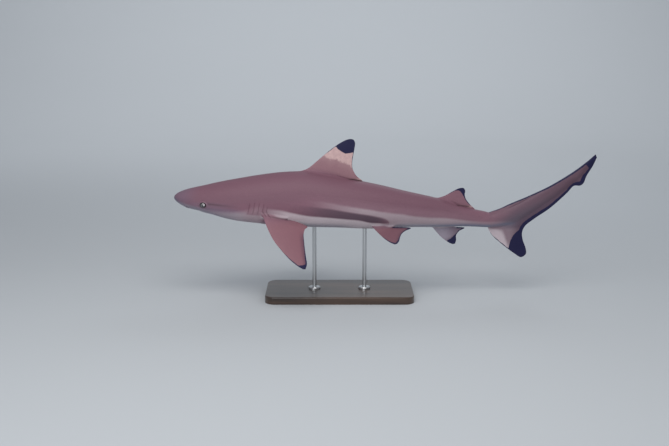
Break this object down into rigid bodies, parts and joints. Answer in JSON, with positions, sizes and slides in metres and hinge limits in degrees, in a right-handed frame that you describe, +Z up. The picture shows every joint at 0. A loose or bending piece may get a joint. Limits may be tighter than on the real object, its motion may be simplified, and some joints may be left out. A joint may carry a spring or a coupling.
{
  "type": "blacktip reef shark display model",
  "caption": "Life-size female blacktip reef shark, swimming level with its left side to the viewer, on a flat wooden base with two steel rods.",
  "frame": {"origin": "centre of the underside of the stand's base", "axes": "+X from the snout towards the tail, +Y towards the shark's right side, +Z up"},
  "size_m": [1.2557, 0.4306, 0.4737],
  "materials": {
    "skin_brown": "satin rosy brown shark skin with fine bump, fading to white below",
    "skin_pale": "satin off-white shark skin with fine bump",
    "fin_brown": "satin brown fin skin with black tips and edges",
    "eye": "polished silver-grey iris with an upright slit pupil",
    "dark_wood": "dark stained wood, satin lacquer",
    "brushed_steel": "fine brushed"
  },
  "bodies": {
    "root": {"head": "skin_brown", "lower_jaw": "skin_pale", "trunk": "skin_brown", "tail": "skin_brown", "eye_left": "eye", "eye_right": "eye", "first_dorsal_fin": "fin_brown", "second_dorsal_fin": "fin_brown", "anal_fin": "skin_pale", "pectoral_fin_left": "fin_brown", "pectoral_fin_right": "fin_brown", "pelvic_fin_left": "fin_brown", "pelvic_fin_right": "fin_brown", "caudal_upper_lobe": "fin_brown", "caudal_lower_lobe": "skin_pale", "stand_base": "dark_wood", "stand_rod_front": "brushed_steel", "stand_rod_rear": "brushed_steel", "stand_collar_front": "brushed_steel", "stand_collar_rear": "brushed_steel"}
  },
  "joints": []
}
